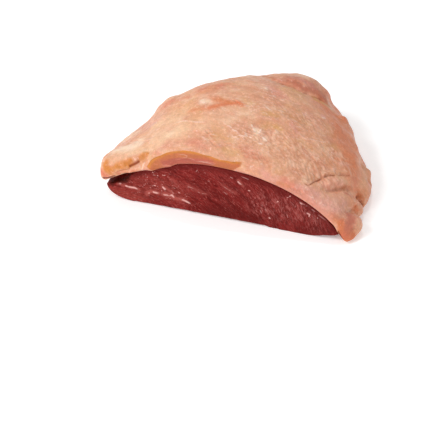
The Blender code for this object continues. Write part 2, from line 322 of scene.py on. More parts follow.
# The fat cap. Creases and strings are lines through pixels of the photo.
fatForm = {
    "levels": 2,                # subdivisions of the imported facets, to cells of about 1.1 mm
    "sharp": math.radians(50),
    "knife": (-58.8 * mm, 23.1 * mm),               # where along X the knife left its edge square
    "keptSharp": 0.85,
    # where rounding sets in: mm left of the middle, mm behind it, and mm above the lean
    "rounded": {"left": (52, 60), "behind": (0, 20), "aboveLean": (2, 4)},
    "rounding": (1.6, 0.5),     # its strength before it is cut off at 1, and the share of the way a round
    "swells": ((15, 0.8), (6.5, 0.45), (3.0, 0.12)),    # mm: width and height over the whole of it
    "flakes": {"size": 2.5, "height": 0.75, "along": (0.62, -0.62, -0.42), "draw": 0.5, "middle": 0.2,
               "from": (0.1, 0.8)},
    "wrinkles": {"size": 3.4, "height": 0.4, "least": 0.1, "along": (0.9, -0.3, -0.3), "draw": 0.45,
                 "finer": 0.4, "deepest": -0.4, "from": (0.1, 0.9)},
    "wander": ((11, 5.0), (4.0, 2.2)),              # mm: how the borders of its patches wander
    "clear": ("golden", "tanned", "under"),         # patches whose borders don't
    "clearOfLean": (1.0, 4.0),  # mm above the lean between which its relief sets in
    "stringReach": 4,           # mm on either side of a string that it can touch
    # how a crease gets deeper and shallower, every few mm
    "breaks": {"size": 3.5, "mean": 0.95, "swing": 1.2, "least": 0.45},
    # the side painted darker as shade, turned from the key lamp: the way it faces, mm and share of its
    # unevenness, and mm along Y where it starts
    "flank": {"way": (0.92, 0.30, -0.25), "size": 24, "uneven": 0.3, "turned": (0.35, 1.1),
              "behind": (-58, -38)},
    # cells are halved where it is rough, and near a crease, and again nearer to it, all in mm
    "cells": {"rough": 0.45, "near": 4, "nearer": 1.9, "reach": 8, "aboveLean": 1.2},
}

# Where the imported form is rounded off: the roll of its lobe, and the valley under its hump.
# Pixels, radius in mm, and rounds of smoothing.
softEdges = {
    "lobe": ([(105.5, 163), (110, 157), (120, 154), (132, 151), (143, 149)], 9, 100),
    "hump": ([(274, 80.5), (292, 86.5), (310, 94.5), (326, 102)], 5, 18),
}

# Pixels, depth and half width in mm, how dark the shade painted along it is, how far its upper lip
# swells, and how much lower the fat lies below it.
fatCreases = {
    "underLobe": ([(128.5, 164.4), (132, 163), (136, 161.6), (140.5, 159)], 1.6, 0.8, 1.1, 0.5, 0.3),
    "lobeFoot": ([(113, 173), (118, 169.8), (124, 166.3), (131, 163.5), (138, 160.8), (143, 158),
        (148.5, 154.5)], 0.5, 1.5, 0.15, 1.3, 2.2),
    "lobeNotch": ([(139.3, 159.6), (144, 157.2), (148.5, 154.2)], 0.8, 0.9, 0.35, 0.5, 0.0),
    "lobeValley": ([(148.5, 155), (149, 150), (147, 146), (150, 141)], 0.6, 1.8, 0.12, 0.3, 0.0),
    "lobeWrinkle": ([(131, 140.8), (136, 140), (142, 140.8), (149, 141.6), (154, 140.4)], 0.35, 0.7, 0.3,
        0.2, 0.0),
    "thinFold": ([(323.5, 177.8), (327.5, 175.4), (331, 175.3), (335.5, 176.1)], 1.3, 0.8, 0.8, 1.0, 0.4),
    "thinFoldLeft": ([(304, 183.5), (309, 185), (312.5, 183), (315, 181.3), (318.5, 180.3),
        (322.5, 178.4)], 0.9, 0.8, 0.6, 0.5, 0.2),
    "thinFoldRight": ([(337, 175.8), (341, 174.7), (345.5, 175.6), (351.5, 175)], 1.0, 1.0, 0.3, 1.0,
        0.3),
    "broadFold": ([(325, 190.8), (331, 190), (337, 188.6), (343, 187.6), (347.5, 189.2), (352, 191.5)],
        1.8, 1.9, 0.45, 1.3, 0.4),
    "foldBranch": ([(344, 189.5), (347.5, 192.4), (350.5, 196)], 0.9, 1.1, 0.4, 0.5, 0.0),
    "pit": ([(355.5, 195.5), (358.5, 199.8), (361.5, 203.4), (364, 206)], 2.6, 1.8, 0.9, 1.0, 0.0),
    "lowFold": ([(346, 212), (350, 211), (354, 208.3), (357.5, 205)], 1.3, 1.4, 0.35, 0.6, 0.3),
    "flapNick": ([(351, 229), (356, 228.5)], 0.5, 0.8, 0.35, 0.2, 0.0),
    "topFold": ([(264, 77.5), (269, 79), (275, 81), (283, 83.6), (292, 86.6), (300, 91), (310, 94.8),
        (320, 99.2), (328, 103.2)], 0.9, 2.4, 0.55, 0.4, 0.0),
    "humpFold": ([(286, 79), (292, 81.5), (299, 83), (305, 86.5)], 0.6, 1.1, 0.4, 0.4, 0.0),
    "streakEdge": ([(229, 97), (236, 101.5), (240, 104.3), (248, 104.5)], 0.4, 0.6, 0.4, 0.2, 0.0),
    "nickTop": ([(263.5, 97), (268, 98.3), (272, 97.8)], 0.4, 0.6, 0.35, 0.1, 0.0),
    "nickMiddle": ([(247.5, 129), (248.6, 133)], 0.5, 0.7, 0.35, 0.1, 0.0),
    "nickLeft": ([(205, 129.5), (208.5, 133), (211, 135)], 0.5, 0.8, 0.35, 0.2, 0.0),
    "nickLow": ([(209.5, 139), (213.5, 143.5), (217, 146.5)], 0.5, 0.8, 0.35, 0.2, 0.0),
}

# Their reach in mm and the share of each end that fades; where the lip is and how wide, in half
# widths; over how many mm the step fades, and the share of the half width that is painted dark as shade.
creaseForm = {"reach": 10, "ends": 0.15, "lipAt": 2, "lipWidth": 1.7, "stepFade": 5, "shadeWidth": 0.85}

# Thin strings of membrane on it, and glints painted on as pale strokes: lines of pixels, height and half
# width in mm, how pale.
fatStrings = {
    "longLine": ([[(169, 123.8), (174, 124), (178, 122.8), (183, 121.6), (191, 121.4), (199, 121.8),
        (208, 123)]], 0.25, 0.7, 0.75),
    "fork": ([[(224, 123.8), (230, 126.7), (233.5, 129.8), (239.6, 133)], [(238.3, 134.8), (246, 136.8)],
        [(229.5, 139), (234, 136.8), (238.5, 135.2)]], 0.35, 0.6, 0.8),
    "glints": ([[(253, 128.5), (256, 131.5)], [(258, 134.5), (261.5, 128.6)], [(262, 137),
        (267.5, 141.2)], [(251.5, 124), (252.5, 127)], [(249, 136.5), (252, 138)], [(258.6, 143),
        (262, 144.5)], [(263.8, 88.3), (268, 90)], [(265, 106.5), (270.5, 110.5)], [(200, 101.6),
        (205, 102.6)], [(156, 130.5), (160, 128.8)], [(321, 117), (326, 118.5)]], 0.35, 0.75, 0.95),
    "vein": ([[(290, 121), (293, 125)], [(297, 131.5), (302, 136.8), (305.3, 139.3), (313, 140),
        (322.5, 142.2), (327.6, 143.8)]], 0.4, 0.8, 0.5),
    "glintDashes": ([[(304, 179), (307.5, 182.5)], [(296, 172.5), (299.5, 176.5)], [(351, 168), (355, 171.5)],
        [(356, 176.5), (362, 181)], [(313, 177), (314, 182)], [(274, 130), (278, 133)]], 0.3, 0.6, 0.5),
    "flecks": ([[(279, 80), (283, 82)], [(290, 77.5), (294, 78)], [(301, 80.5), (306, 82)], [(316, 88.5),
        (320, 91)], [(262, 84), (265, 85)], [(290, 104), (293, 106)], [(304, 107), (308, 110)],
        [(302, 114), (306, 117)], [(268, 99), (271, 101)], [(283, 98), (286, 100)], [(274, 118),
        (277, 120)], [(310, 124), (313, 127)], [(297, 143), (300, 146)], [(322, 131), (325, 134)],
        [(332, 152), (335, 155)], [(228, 92), (232, 93)], [(240, 88), (244, 89)], [(216, 96),
        (220, 96.5)]], 0.25, 0.6, 0.55),
    "stripLine": ([[(144, 159.5), (142.9, 162), (142.5, 168)]], 0.2, 0.6, 0.7),
    "glintLoop": ([[(176, 156.8), (179, 155), (183, 154.6), (187, 156), (186, 157.8), (182, 158.4),
        (177.5, 157.9)], [(187, 157.8), (192, 159.6), (196, 161.6)]], 0.12, 0.5, 0.5),
    "wetRim": ([[(195, 162), (201, 161.6), (208, 162.8), (216, 165)]], 0.3, 0.8, 0.55),
    "nub": ([[(332.8, 167.5), (333.2, 170), (333.6, 173)]], 0.9, 1.9, 0.4),
}

# What is pushed over once the relief is on: places, radius in mm, and the way in mm.
fatShifts = [
    # the rim laps over the lean at the left
    ([(128, 169), (138, 167), (150, 164.5)], 4.5, (0, -1.1, -2.4)),
    # the flap's edge, against the lean's tip
    ([(342.5, 231), (346, 238)], 4.0, (-1.8, -0.6, -0.4)),
    # the hump's right shoulder
    ([(51, 46.5, 39.5), (46, 61, 29)], 6.5, (-4.0, -1.4, 0)),
    ([(41, 44, 51), (37, 57, 43)], 6.5, (-1.6, -0.5, -1.0)),
    # dips of the skyline at the left
    ([(-57.3, -14.7, 61.2), (-62.7, 0.9, 50)], 8.0, (0.4, -1.1, -1.9)),
    ([(-76.2, -29.2, 45.1), (-81.6, -13.6, 33.9)], 8.0, (0.3, -0.8, -1.4)),
    # the rim's sag left of the middle
    ([(152, 165.8), (160, 164.6), (168, 163.4)], 4.0, (0, -0.7, -2.2)),
]

# Lumps and dents in its outline and between its folds: place, radius and height in mm.
fatLumps = [
    ((343.5, 119.5), 4, 2.4), ((347.5, 129), 3.5, -0.7), ((351.5, 137), 4, 0.7), ((353, 142.5), 2.5, -0.7),
    ((356, 148.5), 4, 0.9), ((358, 155.5), 3, -0.9), ((363, 166.3), 4, -2.4), ((366.6, 172.8), 5.5, 3.8),
    ((368, 180.5), 2.5, -0.9), ((366.5, 187.5), 6, 1.5), ((360.5, 208), 3.5, 1.2), ((358, 213.5), 3.5, -1.4),
    ((357, 222), 6, 3.2), ((333, 182.5), 6, 1.0), ((351, 201), 5, 1.5), ((300, 80), 9, 0.9),
    ((127, 157), 9, 1.0), ((104.5, 168), 7, 2.0), ((165, 140), 12, 0.8), ((150, 124), 6, -0.6),
    ((186, 108), 8, -0.6), ((185, 97), 5, -0.6), ((345, 169), 6, 0.8), ((226, 103), 7, -0.6),
]

# Soft patches of one colour or texture, among them painted shade and painted highlights: places, radius in
# mm, and how strong.
fatPatches = {
    "tanned": [([(334, 112), (346, 145), (354, 165)], 19, 1.05), ([(352, 182), (362, 194)], 9, 0.9),
        ([(330, 184), (345, 184)], 7, 0.4), ([(290, 110), (310, 138), (328, 160)], 22, 0.35),
        ([(244, 150), (262, 160)], 7, 0.45), ([(85, -60, 18), (91, -58, 12)], 6, 0.6), ([(86, -30, 24),
        (78, 6, 24), (66, 34, 22)], 14, 0.8), ([(92, -40, 10), (84, 4, 8), (66, 40, 8)], 11, 0.7)],
    "ruddy": [([(356, 203), (356, 210)], 5, 0.8), ([(349, 231), (350, 238)], 6, 1.1), ([(328, 211),
        (336, 220)], 3, 0.8), ([(335, 160)], 9, 0.5), ([(44, 52, 41), (48, 56, 34), (53, 46, 31)],
        8, 1.1), ([(41, 36, 46), (46, 33, 43), (50, 30, 41)], 5, 0.6), ([(322, 104), (330, 112)], 7, 1.0),
        ([(225, 88), (255, 88)], 8, 0.35), ([(222, 88), (200, 92)], 6, 0.4), ([(342.5, 224), (344, 231),
        (347, 237)], 4, 1.3), ([(190, 110.5), (202, 108)], 3.5, 0.6), ([(208, 107.3), (222, 105),
        (232, 103), (241, 104)], 3.4, 1.0), ([(216, 100), (230, 101)], 4.5, 0.8)],
    # pale fat, and soft highlights painted on, as on the lobe's top and in the cluster of glints
    "pale": [([(120, 150), (134, 145)], 7, 1.0), ([(172, 134)], 4, 0.8), ([(258, 131)], 6, 0.8),
        ([(255.5, 129.5), (257.5, 133.5)], 2.6, 1.1), ([(264.5, 139)], 2.4, 1.0), ([(260, 143.5)],
        2, 0.8), ([(125, 141), (136, 134)], 5, 0.6), ([(203, 101), (209, 102)], 3.5, 0.9), ([(244, 112),
        (232, 118)], 7, 0.35), ([(266, 88)], 3, 0.6), ([(-84, -6, 18), (-76, 6, 22)], 4, 0.7),
        ([(-44, 34, 26), (-36, 38, 28)], 3, 0.7), ([(40, 72, 18), (46, 64, 22)], 4, 0.6), ([(82, -20, 26),
        (80, -10, 25)], 4, 0.6)],
    "creamy": [([(157, 140), (180, 132)], 11, 1.0), ([(120, 152), (145, 150)], 9, 0.9), ([(160, 124),
        (178, 118)], 9, 0.7), ([(196, 127), (216, 121)], 12, 0.6), ([(236, 112), (250, 116)], 8, 0.4),
        ([(-60, 20, 25.6), (-45, 22, 44)], 10, 0.7), ([(-12, 52, 38), (-20, 44, 44)], 9, 0.6),
        ([(88, -30, 18), (84, -8, 16)], 9, 0.5)],
    "yellow": [([(280, 128), (270, 124)], 6, 0.9), ([(318, 101), (330, 108)], 5, 1.1), ([(264, 112),
        (274, 114)], 4, 0.9), ([(224, 150), (238, 152)], 5, 0.7), ([(288, 88), (302, 94)], 4, 0.8),
        ([(186, 105), (194, 101)], 5, 0.5), ([(288, 114), (302, 121)], 8, 0.5), ([(246, 100), (254, 104)],
        4, 0.6), ([(212, 136), (228, 138)], 6, 0.6), ([(334, 145)], 5, 0.7), ([(332, 213), (338, 222)],
        2.5, 0.3), ([(322, 190), (332, 196)], 4, 0.5), ([(300, 112)], 6, 0.6), ([(-66, 16, 14),
        (-56, 24, 12)], 6, 0.8), ([(-30, 34, 46), (-20, 38, 50)], 6, 0.7), ([(70, 24, 20), (64, 34, 24)],
        6, 0.6)],
    # golden fat, with painted shade along the lobe's lower front and over the crease under it
    "golden": [([(107, 164), (108, 168), (110, 171)], 4, 1.1), ([(112, 169.5), (119, 166.5), (125, 164)],
        3.2, 1.1), ([(125, 164), (131.5, 161.4)], 2.5, 1.35), ([(139.5, 158.5), (144, 156), (148, 153.5)],
        2.0, 1.0), ([(216, 98.5), (230, 102)], 4.0, 0.4), ([(299.2, 130.7)], 1.0, 1.6), ([(278, 184),
        (288, 187)], 2.4, 1.0)],
    # painted shade in an umber tone: in the folds, along the fold under the hump, and on the right shoulder
    "umber": [([(344, 186.5), (352, 188)], 2.4, 0.9), ([(358, 194), (362, 203)], 2.8, 1.0), ([(349, 211),
        (357, 206.5)], 1.8, 0.3), ([(349, 234), (351, 237)], 3.0, 0.8), ([(287, 83), (305, 90),
        (323, 97)], 5, 0.6), ([(262, 75.5), (275, 79.5)], 2.0, 1.0), ([(45, 35, 43), (50, 31, 41)],
        6, 0.7), ([(309, 181), (322, 178)], 2.0, 0.5), ([(346, 176), (355, 178)], 2.0, 0.5), ([(352, 222),
        (354, 230)], 3.0, 0.3)],
    "rosy": [([(219, 106), (232, 104.4), (240, 104)], 2.2, 0.5), ([(344, 234), (349, 238)], 4, 1.0),
        ([(196, 131), (209, 135)], 4, 0.6), ([(192, 143), (207, 145)], 5, 0.7), ([(292, 122)], 2.5, 0.8),
        ([(276, 92), (283, 98)], 5, 0.6), ([(246, 168), (275, 178), (298, 190)], 3, 0.4), ([(152, 116),
        (140, 128)], 5, 0.8), ([(186, 96), (163, 106)], 5, 0.8), ([(200, 90), (230, 84)], 4, 0.8),
        ([(348, 173), (356, 182)], 4, 0.6), ([(249, 154)], 4, 0.6), ([(284, 181), (296, 190), (305, 194)],
        4, 0.8), ([(-40, 32, 40), (-31, 39, 33)], 4, 0.7), ([(-71, 12, 26), (-79, 2, 28)], 4, 0.7),
        ([(-21, 52, 22), (-8, 60, 20)], 4, 0.7), ([(80, 0, 22), (72, 22, 24)], 5, 0.5), ([(134, 169),
        (118, 173.5)], 2.4, 1.0), ([(103, 171), (107, 175.5)], 2.4, 1.4), ([(338, 111), (345, 122)],
        5, 0.5)],
    "lilac": [([(312, 198), (332, 207)], 7, 1.2), ([(262, 173), (285, 184), (300, 193)], 4, 0.8),
        ([(324, 117)], 3, 1.0), ([(305, 114)], 3, 0.8), ([(298, 186), (308, 192)], 5, 1.1), ([(322, 186),
        (340, 184)], 6, 0.5), ([(334, 197), (345, 201)], 5, 0.6), ([(340, 164), (347, 166)], 3, 0.7),
        ([(349, 218), (350, 230)], 3.5, 0.35), ([(270, 88), (282, 96)], 6, 0.7), ([(290, 124),
        (297, 131)], 2, 0.7), ([(300, 80), (313, 86)], 3.5, 0.8), ([(262, 133), (268, 142)], 4, 0.5),
        ([(-50, 30, 16), (-36, 40, 18)], 6, 0.8), ([(-94, -62, 16), (-92, -40, 20)], 6, 0.7),
        ([(62, 40, 22), (54, 54, 24)], 6, 0.7)],
    "mauve": [([(276, 80), (290, 83.5), (306, 90), (323, 97)], 5, 0.6), ([(290, 78), (303, 81),
        (318, 89.5)], 6, 0.6), ([(244, 150), (262, 160)], 7, 0.45), ([(349, 214), (350, 228)], 4.5, 1.2),
        ([(346, 193), (351, 197)], 2.0, 0.8), ([(334, 213), (342, 220)], 3.5, 0.55)],
    "wet": [([(170, 159), (186, 158.5), (203, 160)], 8, 1.6)],
    # painted shade on the hump's far side
    "dry": [([(288, 80), (306, 87), (324, 97)], 8, 0.8)],
    "granular": [([(272, 138), (290, 150), (308, 166), (318, 176)], 15, 1.0), ([(246, 150), (268, 166)],
        7, 0.7), ([(330, 150), (345, 165)], 10, 0.8), ([(285, 112), (320, 125)], 12, 0.7), ([(330, 205)],
        8, 0.6)],
    "wrinkled": [([(240, 132), (262, 134)], 8, 0.7), ([(208, 136)], 6, 0.8), ([(267, 90), (275, 98)],
        7, 1.0), ([(230, 145), (250, 150)], 8, 0.6), ([(290, 190), (322, 203)], 5, 0.7), ([(205, 104)],
        7, 0.5), ([(300, 125), (322, 140)], 9, 0.6), ([(250, 105), (262, 112)], 8, 0.6), ([(290, 78),
        (320, 92)], 6, 0.45), ([(280, 110), (330, 165)], 16, 0.4), ([(-70, 14, 28), (-50, 27, 32),
        (-25, 48, 28)], 9, 0.4)],
    # painted shade under the lobe's foot and along the flap's edge against the lean
    "under": [([(104.5, 177.4), (108, 177.4), (114, 175.6)], 1.3, 1.2), ([(340.6, 231.4), (342.8, 235),
        (344.9, 238.9)], 0.9, 1.1)],
}

# The upper edge of what the knife left bare at the cut.
bareCut = {
    "edge": [(146, 164.5), (147.5, 161.8), (150, 159.8), (154, 157.5), (162, 154.4), (167, 152.6),
             (172, 151.4), (178, 150.8), (184, 150.5), (191.4, 151.4), (199.4, 153.1), (210, 156.3),
             (220.8, 159.8), (231.6, 161.4), (242.3, 161.8), (247.5, 164.5)],
    "fade": (0.03, 0.12),       # shares of its length over which it sets in, at the left and right
    "step": 0.35,               # mm that it lies below the fat's skin
    "stepFrom": (-0.2, 0.5),    # mm below its edge between which it steps down
    "lip": 0.12,                # mm that the skin's edge stands up
    "lipWidth": 0.6,            # mm
    "taper": ([0, 0.78, 0.9, 1], [20, 20, 5, 1.5]),     # shares along it, and mm that it is high there
    "foot": (-0.4, 0.6),        # mm over which it ends below
    "reach": 14,                # mm from its edge that it is measured
    "away": -9.0,               # what points farther off get for it
    "behind": 18,               # mm from the front of the box, past which there is none
}


def shapeFat(leanTree):
    form = fatForm
    mesh = fineMesh("fat_cap", form)
    mesh.name = "fatCap"
    tree = meshTree(mesh)
    points = readPoints(mesh)[0]
    sides = (("left", -points[:, 0]), ("behind", points[:, 1]), ("aboveLean", nearestOn(leanTree, points)[1]))
    left, behind, above = (smooth(values, *(bound * mm for bound in form["rounded"][side]))
                           for side, values in sides)
    offCut = np.maximum(left, behind) * above
    strength, pull = form["rounding"]
    for places, radius, rounds in softEdges.values():
        edge = patchField(tree, points, [(places, radius, strength)])
        relax(mesh, pull * np.minimum(edge, 1) * offCut, rounds)
    tree = meshTree(mesh)
    creases = {name: castLine(tree, crease[0]) for name, crease in fatCreases.items()}
    bareEdge = castLine(tree, bareCut["edge"])
    refineFat(mesh, tree, leanTree, [*creases.values(), bareEdge])
    points, normals = readPoints(mesh)
    fromLean = nearestOn(leanTree, points)[1]
    low, high = form["clearOfLean"]
    free = smooth(fromLean, low * mm, high * mm)
    drift = wandered(points, form["wander"]) - points
    fields = {name: patchField(tree, points, patches, drift * (name not in form["clear"]))
              for name, patches in fatPatches.items()}
    relief = sum(height * mm * swells(points, size * mm, noiseShifts["swells"])
                 for size, height in form["swells"])
    for place, radius, height in fatLumps:
        away = np.linalg.norm(points - castPixel(tree, *place), axis=1)
        relief += height * mm * bell(away, radius * mm)
    look = form["flakes"]
    flow = stretched(points, look["along"], look["draw"])
    flakes = np.abs(swells(flow, look["size"] * mm, noiseShifts["flakes"]))
    relief += look["height"] * mm * (flakes - look["middle"]) * smooth(fields["granular"], *look["from"])
    look = form["wrinkles"]
    drawn = stretched(points, look["along"], look["draw"])
    ridges = swells(drawn, look["size"] * mm, noiseShifts["wrinkles"])
    wrinkles = 1 - 4 * np.abs(ridges + look["finer"] * swells(drawn, look["size"] * mm / 2,
                                                              noiseShifts["fineWrinkles"]))
    share = look["least"] + (1 - look["least"]) * smooth(fields["wrinkled"], *look["from"])
    relief += look["height"] * mm * np.maximum(wrinkles, look["deepest"]) * share
    # how dark the shade painted along the creases is at each point
    crease = np.zeros(len(points))
    look = form["breaks"]
    broken = swells(points, look["size"] * mm, noiseShifts["breaks"])
    broken = np.clip(look["mean"] + look["swing"] * broken, look["least"], 1)
    for name, (_, depth, width, paintedShade, lip, step) in fatCreases.items():
        near, distance, along, side = offLine(points, normals, creases[name], creaseForm["reach"] * mm)
        ends = tapered(along, 0, creaseForm["ends"])
        outwards = distance - creaseForm["lipAt"] * width * mm
        change = lip * bell(outwards, creaseForm["lipWidth"] * width * mm) * (side > 0)
        change -= depth * bell(distance, width * mm)
        change -= step * smooth(-side * distance, 0, width * mm) * bell(distance, creaseForm["stepFade"] * mm)
        relief[near] += change * mm * ends
        # the shade painted along the crease
        paintedShade = paintedShade * bell(distance, width * creaseForm["shadeWidth"] * mm) * ends * broken[near]
        crease[near] = np.maximum(crease[near], paintedShade)
    # how pale each point is, under strings of membrane and under glints painted on as pale strokes
    string = np.zeros(len(points))
    for lines, height, width, pale in fatStrings.values():
        for line in lines:
            corners = castLine(tree, line)
            near, distance, along = offLine(points, normals, corners, form["stringReach"] * mm)[:3]
            ends = tapered(along, *stringEnds)
            relief[near] += height * mm * bell(distance, width * mm) * ends
            string[near] = np.maximum(string[near], pale * bell(distance, width * mm) * ends)
    # the bare cut: how far below its edge each point lies, in mm, and where the cut ends
    look = bareCut
    belowEdge, cutShare = np.full(len(points), look["away"]), np.zeros(len(points))
    near, distance, along, side = offLine(points, normals, bareEdge, look["reach"] * mm)
    belowEdge[near] = -side * distance / mm
    first, last = look["fade"]
    cutShare[near] = smooth(along, 0, first) * smooth(1 - along, 0, last)
    cutShare[near] *= points[near, 1] < cadBox[0].y + look["behind"] * mm
    cutShare[near] *= smooth(np.interp(along, *look["taper"]) - belowEdge[near], *look["foot"])
    relief[near] += look["lip"] * mm * bell(distance, look["lipWidth"] * mm) * (side > 0) * cutShare[near]
    relief[near] -= look["step"] * mm * smooth(belowEdge[near], *look["stepFrom"]) * cutShare[near]
    # the side turned from the key lamp, painted darker as shade
    look = form["flank"]
    uneven = look["uneven"] * swells(points, look["size"] * mm, noiseShifts["flank"])
    flank = smooth(normals @ np.array(look["way"]) + uneven, *look["turned"])
    flank *= smooth(points[:, 1], *(bound * mm for bound in look["behind"]))
    fields.update(fromLean=fromLean / mm, flakes=flakes, wrinkles=wrinkles, crease=crease, string=string,
                  flow=flow / mm, belowEdge=belowEdge, cutShare=cutShare, flank=flank)
    points += normals * (relief * free)[:, np.newaxis]
    shiftPoints(tree, points, fatShifts)
    movePoints(mesh, points)
    for name, values in fields.items():
        storeField(mesh, name, values)
    return mesh


def nearLines(centres, normals, lines, distance):
    # which faces lie within some mm of one of the lines
    chosen = np.zeros(len(centres), bool)
    for line in lines:
        near, away = offLine(centres, normals, line, fatForm["cells"]["reach"] * mm)[:2]
        chosen[near[away < distance * mm]] = True
    return chosen


def refineFat(mesh, tree, leanTree, lines):
    # smaller cells where the fat is granular or wrinkled, and again along its creases
    look = fatForm["cells"]
    centres, normals = readFaces(mesh)
    outside = nearestOn(leanTree, centres)[1] > look["aboveLean"] * mm
    rough = sum(patchField(tree, centres, fatPatches[name]) for name in ("granular", "wrinkled"))
    halve(mesh, ((rough > look["rough"]) | nearLines(centres, normals, lines, look["near"])) & outside)
    centres, normals = readFaces(mesh)
    halve(mesh, nearLines(centres, normals, lines, look["nearer"]))
    print("fat refined:", len(mesh.polygons), "faces")


# The lean.
leanForm = {
    "levels": 2,
    "sharp": math.radians(50),
    "knife": (-1, 1),           # the whole cut has a sharp edge
    "keptSharp": 0.85,
    "cutDepth": 4,              # mm back from the front within which a face belongs to the cut
    "halvings": 2,              # how often the cut's cells are halved
    "fibreTurn": (-2, 72),      # degrees that the fibres fall to the right, at the left and right end
    "fibres": ((5, 0.9, 0.16), (9, 2.2, 0.28), (26, 6.0, 0.4)),     # mm: length, width, height
    "fibreWander": ((9, 1.2),),     # mm: how the fibres wander
    "wander": ((6, 3.0), (2.5, 1.8)),
    "overlap": 0.3,             # mm that it reaches into the fat, so that no gap shows
    "touch": 0.9,               # mm from the fat within which it does
    "closest": 0.05,            # mm: a point nearer than this counts as this far off
    "cutFacing": -0.5,          # a face of the cut points this far to the front, or farther
    "cutTurned": (0.6, 0.95),   # how far to the front a place faces before its relief sets in
    "clearOfFat": (0.5, 3),     # mm from the fat between which it does
    "breaks": (2.6, -0.45, 0.10),   # mm: how often a string breaks off, and the noise between
    "stringHeight": 0.3,        # mm
    "stringReach": 3,           # mm on either side of a string that it can touch
}

# Pale strings of membrane on the cut, and wet glints and dashes painted on as pale strokes: lines of pixels,
# half width in mm, how pale.
leanStrings = {
    "membrane": ([[(118, 183), (123, 184), (128.6, 186.6), (134.7, 187.6), (138.8, 189.7)], [(147, 194.2),
        (151, 190.7), (154.1, 192.2), (158.7, 193.2)], [(162.8, 194.5), (166, 195.3), (172, 194.8),
        (174.5, 197.8)], [(161.8, 186), (164.8, 189.1), (169.4, 190.2), (173.5, 193.2)], [(178, 197.8),
        (183.4, 199.5), (190.9, 203.7)]], 0.9, 1.0),
    "glintDashes": ([[(195.7, 172.1), (197.8, 169.5)], [(188.7, 177.5), (191.4, 174.3)], [(203.7, 172.1),
        (205.9, 173.7)], [(207.5, 180.7), (210.7, 182.8)], [(221.9, 185), (228.3, 189.3), (234.2, 193)],
        [(223.5, 191.4), (227.8, 195.2)], [(240.7, 175.9), (247.1, 178.6), (251.4, 181.2)],
        [(229.4, 176.4), (233.7, 178.6)], [(196.7, 191.4), (201.6, 193.6), (206.9, 194.1)],
        [(187.1, 186.1), (194.1, 188.7)], [(258.4, 201.7), (264.1, 207.4), (267.6, 213.1)],
        [(259.5, 209.1), (261.8, 213.7)], [(286.5, 213.7), (288.2, 218.3)], [(296.3, 204.5),
        (295.1, 208.6)]], 0.45, 0.6),
    "glints": ([[(237.5, 180.2), (239, 182.6), (242.8, 186)], [(247.6, 189.8), (250.3, 190.9)],
        [(268.7, 217.2), (270.4, 218.9)], [(276.7, 202.2), (280.2, 200)], [(298.6, 201.1),
        (302.6, 204.5)], [(306, 212.6), (310, 214.3), (308.5, 218)], [(147, 177), (147.8, 177.6)],
        [(157.5, 175), (158, 176)], [(152.6, 171.8), (153.2, 172.6)], [(164.4, 175), (165, 175.8)],
        [(153.4, 185.5), (156, 185.5)], [(161.3, 190.7), (163.8, 191.2)], [(287, 197.6), (291, 195.6)],
        [(317.3, 217.6), (318, 218.4)]], 0.6, 0.9),
    "underRim": ([[(291, 196.5), (299, 201.3), (308.5, 207), (317, 213.3), (324.5, 219.5), (331, 224.5)]],
        0.8, 0.5),
}

leanPatches = {
    "lip": [([(112, 191), (125, 195.5), (141, 200)], 5, 1.0)],
    "lively": [([(135, 190), (155, 184), (178, 192)], 12, 1.0), ([(280, 205), (320, 220)], 10, 0.5)],
    "shaded": [([(212, 209), (232, 212), (256, 219)], 7, 1.0), ([(300, 231), (334, 232)], 5, 0.7),
        ([(205, 190), (214, 196)], 5, 0.6), ([(262, 196), (270, 198)], 5, 0.5), ([(244, 200), (252, 206)],
        4, 0.6)],
    "flecked": [([(262, 205), (290, 210), (316, 220)], 12, 0.9), ([(225, 185), (245, 190)], 9, 0.3)],
    # pale specks, partly marbling and partly painted glints
    "specked": [([(149, 172), (166, 178)], 6, 1.0), ([(150, 186), (160, 192)], 5, 0.6), ([(300, 202),
        (312, 216)], 7, 0.6), ([(240, 184), (250, 190)], 5, 0.4)],
    "halo": [([(147, 194), (151, 190.8), (158.7, 193.2)], 1.8, 1.0), ([(163, 194.5), (172, 195),
        (175, 198), (184, 199.8)], 2.2, 1.0), ([(162, 186), (173, 193)], 1.8, 0.8), ([(118, 183.5),
        (139, 189.7)], 1.8, 0.9), ([(172, 180), (176, 184)], 2.2, 0.6), ([(188, 186), (206, 194.5)],
        2.4, 0.6), ([(222, 185), (235, 193)], 2.0, 0.6), ([(238, 180), (243, 186)], 1.5, 0.8)],
    # painted shade in the hollow between the lobe and the lean's left end
    "cavity": [([(112, 182), (118, 180), (128, 177.5)], 3.2, 1.0)],
}

leanShifts = [
    ([(110.5, 187)], 7, (0.8, 0, 0.4)),             # its left end, cut off shorter than it is packed
    ([(115, 192), (123, 196)], 6, (-1.0, 0, 0.2)),
    ([(325, 236), (335, 236)], 6, (0, 0, 1.8)),     # its right end draws up from the board
]


def fibrePlaces(points):
    # each point's place along and across the fibres, which fan out from left to right
    low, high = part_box("lean")[0].x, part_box("lean")[1].x
    first, last = (math.radians(angle) for angle in leanForm["fibreTurn"])
    rate = (last - first) / (high - low)
    angle = first + rate * (points[:, 0] - low)
    across = points[:, 2] - np.log(np.cos(angle)) / rate
    along = np.log(1 / np.cos(angle) + np.tan(angle)) / rate
    return np.stack([along, across, points[:, 1]], axis=1)


